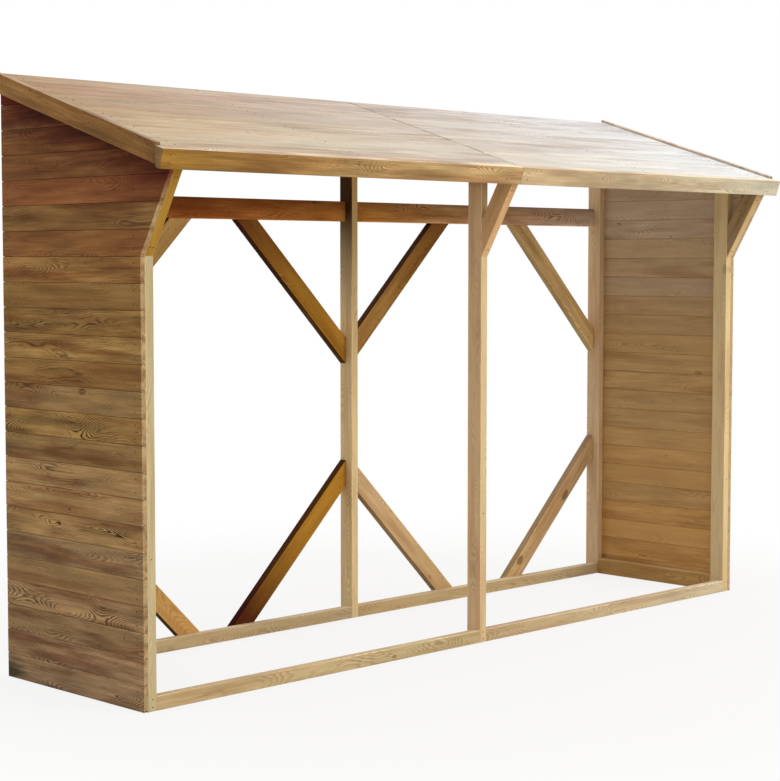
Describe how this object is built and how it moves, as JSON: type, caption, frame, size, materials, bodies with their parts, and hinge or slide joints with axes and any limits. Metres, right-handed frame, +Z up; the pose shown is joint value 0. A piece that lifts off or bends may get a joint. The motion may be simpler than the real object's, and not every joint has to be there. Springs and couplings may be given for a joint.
{
  "type": "log store",
  "caption": "Lean-to log store of treated softwood: boarded ends, open front, braced open back and a boarded roof sloping down to the front over knee braces.",
  "frame": {"origin": "on the ground, at the middle of the overall length and depth", "axes": "+X along the front to the right as seen from the front, +Y from the open front to the back, +Z up"},
  "size_m": [3.42, 0.99, 2.1517],
  "materials": {
    "frame_timber": "sawn and planed treated softwood, pale tan",
    "wall_boards": "planed treated softwood boards, warm brown",
    "roof_boards": "planed treated softwood boards, pale beige",
    "trim_boards": "planed treated softwood, golden tan"
  },
  "bodies": {
    "root": {"back_centre_post": "frame_timber", "back_ground_rail_left": "frame_timber", "back_ground_rail_right": "frame_timber", "back_left_post": "frame_timber", "back_right_post": "frame_timber", "back_top_rail_left": "frame_timber", "back_top_rail_right": "frame_timber", "centre_knee_brace": "frame_timber", "centre_rafter": "frame_timber", "fascia_left": "trim_boards", "fascia_right": "trim_boards", "front_centre_post": "frame_timber", "front_ground_rail_left": "frame_timber", "front_ground_rail_right": "frame_timber", "front_left_post": "frame_timber", "front_right_post": "frame_timber", "left_barge_board": "trim_boards", "left_bay_foot_left_brace": "frame_timber", "left_bay_foot_right_brace": "frame_timber", "left_bay_rafter": "frame_timber", "left_bay_top_left_brace": "frame_timber", "left_bay_top_right_brace": "frame_timber", "left_cladding": "wall_boards", "left_ground_rail": "frame_timber", "left_knee_brace": "frame_timber", "left_rafter": "frame_timber", "right_barge_board": "trim_boards", "right_bay_foot_left_brace": "frame_timber", "right_bay_foot_right_brace": "frame_timber", "right_bay_rafter": "frame_timber", "right_bay_top_left_brace": "frame_timber", "right_bay_top_right_brace": "frame_timber", "right_cladding": "wall_boards", "right_ground_rail": "frame_timber", "right_knee_brace": "frame_timber", "right_rafter": "frame_timber", "roof_back_batten_left": "frame_timber", "roof_back_batten_right": "frame_timber", "roof_deck_left": "roof_boards", "roof_deck_right": "roof_boards"}
  },
  "joints": []
}
